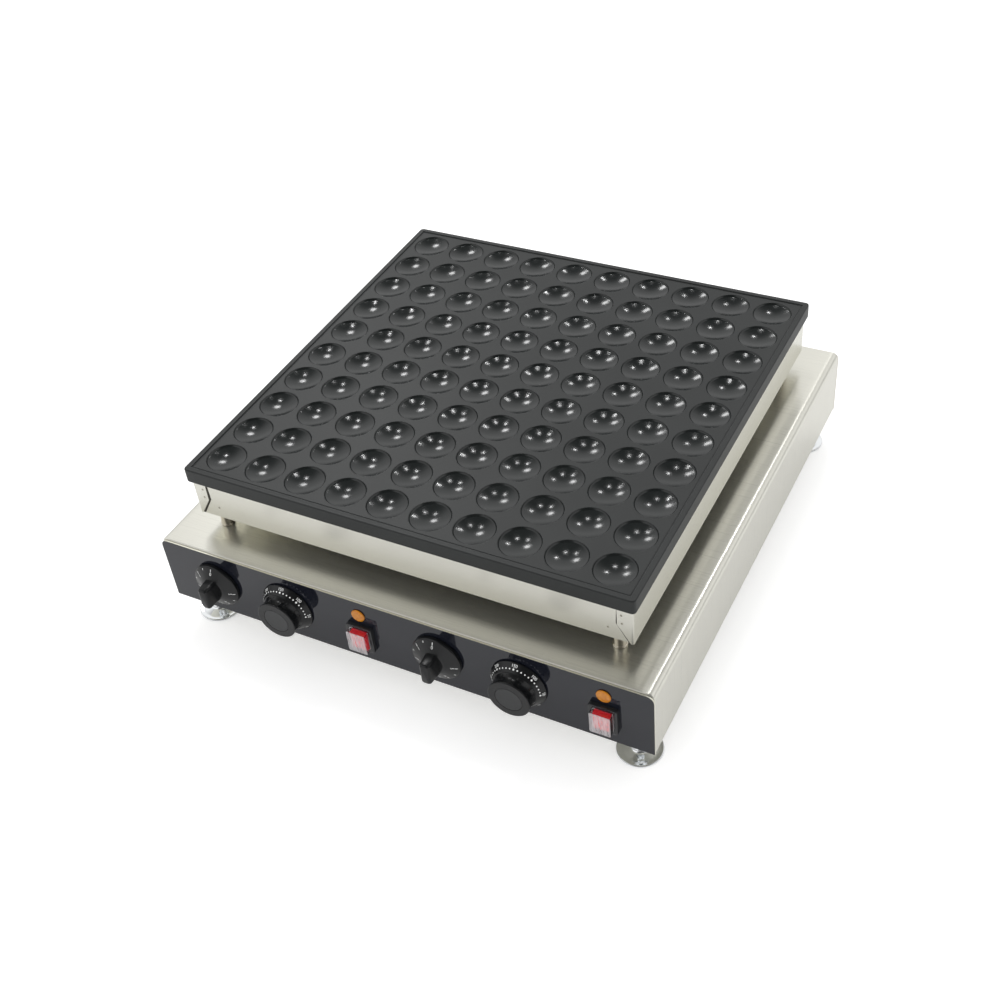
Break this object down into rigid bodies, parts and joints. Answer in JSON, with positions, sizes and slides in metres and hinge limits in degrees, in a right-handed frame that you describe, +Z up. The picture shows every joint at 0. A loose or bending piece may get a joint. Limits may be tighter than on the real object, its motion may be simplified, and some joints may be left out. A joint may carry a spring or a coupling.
{
  "type": "mini pancake maker",
  "caption": "Countertop electric griddle: square cast plate with a grid of shallow round dimples on a sheet housing, raised on spacers above a wide base with knobs, switches and levelling feet.",
  "frame": {"origin": "middle of the whole cooker's box at the floor, knobs and mains entry included", "axes": "+X to the right, +Y to the back, +Z up; the control panel faces -Y"},
  "size_m": [0.56, 0.6094, 0.2008],
  "materials": {
    "cast_plate": "dark non-stick coat, satin",
    "stainless": "brushed",
    "steel": "plain",
    "panel_black": "gloss black film",
    "knob_black": "satin moulded",
    "cap_grey": "satin moulded",
    "body_grey": "moulded",
    "amber": "clear tinted",
    "rocker_red": "clear tinted",
    "clear_cover": "clear soft plastic",
    "chromed": "polished",
    "zinc": "yellow passivated",
    "element": "heat-darkened",
    "copper": "drawn tube",
    "ceramic": "glazed"
  },
  "bodies": {
    "cooker": {"baking_plate": "cast_plate", "housing_front_wall": "stainless", "housing_rear_wall": "stainless", "housing_left_wall": "stainless", "housing_right_wall": "stainless", "housing_floor": "stainless", "housing_spacer_front_left": "zinc", "housing_spacer_front_right": "zinc", "housing_spacer_rear_left": "zinc", "housing_spacer_rear_right": "zinc", "base_casing": "stainless", "bottom_plate": "stainless", "rear_panel": "stainless", "control_panel": "panel_black", "timer_body_left": "body_grey", "thermostat_body_left": "body_grey", "lamp_lens_left": "amber", "lamp_body_left": "body_grey", "switch_housing_left": "knob_black", "switch_cover_left": "clear_cover", "thermostat_bulb_left": "copper", "heating_element_left": "element", "heater_clamp_front_left": "steel", "heater_clamp_rear_left": "steel", "wire_sleeve_left": "zinc", "timer_body_right": "body_grey", "thermostat_body_right": "body_grey", "lamp_lens_right": "amber", "lamp_body_right": "body_grey", "switch_housing_right": "knob_black", "switch_cover_right": "clear_cover", "thermostat_bulb_right": "copper", "heating_element_right": "element", "heater_clamp_front_right": "steel", "heater_clamp_rear_right": "steel", "wire_sleeve_right": "zinc", "foot_nut_front_left": "chromed", "foot_nut_front_right": "chromed", "foot_nut_rear_left": "chromed", "foot_nut_rear_right": "chromed", "cable_gland": "knob_black", "terminal_block": "ceramic"},
    "timer_dial_left": {"timer_knob_left": "knob_black", "timer_shaft_left": "steel"},
    "thermostat_dial_left": {"thermostat_knob_left": "knob_black", "thermostat_knob_cap_left": "cap_grey", "thermostat_shaft_left": "steel"},
    "rocker_left": {"switch_rocker_left": "rocker_red"},
    "timer_dial_right": {"timer_knob_right": "knob_black", "timer_shaft_right": "steel"},
    "thermostat_dial_right": {"thermostat_knob_right": "knob_black", "thermostat_knob_cap_right": "cap_grey", "thermostat_shaft_right": "steel"},
    "rocker_right": {"switch_rocker_right": "rocker_red"},
    "levelling_foot_front_left": {"foot_front_left": "chromed"},
    "levelling_foot_front_right": {"foot_front_right": "chromed"},
    "levelling_foot_rear_left": {"foot_rear_left": "chromed"},
    "levelling_foot_rear_right": {"foot_rear_right": "chromed"}
  },
  "joints": [
    {"name": "timer_turn_left", "type": "hinge", "parent": "cooker", "child": "timer_dial_left", "pos_m": [-0.2148, -0.2773, 0.0778], "axis": [0, 1, 0], "range_deg": [0, 260]},
    {"name": "thermostat_turn_left", "type": "hinge", "parent": "cooker", "child": "thermostat_dial_left", "pos_m": [-0.1257, -0.2773, 0.0778], "axis": [0, 1, 0], "range_deg": [-130, 136]},
    {"name": "rocker_tip_left", "type": "hinge", "parent": "cooker", "child": "rocker_left", "pos_m": [-0.0366, -0.2758, 0.0708], "axis": [-1, 0, 0], "range_deg": [0, 14]},
    {"name": "timer_turn_right", "type": "hinge", "parent": "cooker", "child": "timer_dial_right", "pos_m": [0.0518, -0.2773, 0.0778], "axis": [0, 1, 0], "range_deg": [0, 260]},
    {"name": "thermostat_turn_right", "type": "hinge", "parent": "cooker", "child": "thermostat_dial_right", "pos_m": [0.1409, -0.2773, 0.0778], "axis": [0, 1, 0], "range_deg": [-130, 136]},
    {"name": "rocker_tip_right", "type": "hinge", "parent": "cooker", "child": "rocker_right", "pos_m": [0.23, -0.2758, 0.0708], "axis": [-1, 0, 0], "range_deg": [0, 14]},
    {"name": "foot_level_front_left", "type": "slide", "parent": "cooker", "child": "levelling_foot_front_left", "axis": [0, 0, 1], "range_m": [-0.01, 0.012]},
    {"name": "foot_level_front_right", "type": "slide", "parent": "cooker", "child": "levelling_foot_front_right", "axis": [0, 0, 1], "range_m": [-0.01, 0.012]},
    {"name": "foot_level_rear_left", "type": "slide", "parent": "cooker", "child": "levelling_foot_rear_left", "axis": [0, 0, 1], "range_m": [-0.01, 0.012]},
    {"name": "foot_level_rear_right", "type": "slide", "parent": "cooker", "child": "levelling_foot_rear_right", "axis": [0, 0, 1], "range_m": [-0.01, 0.012]}
  ]
}
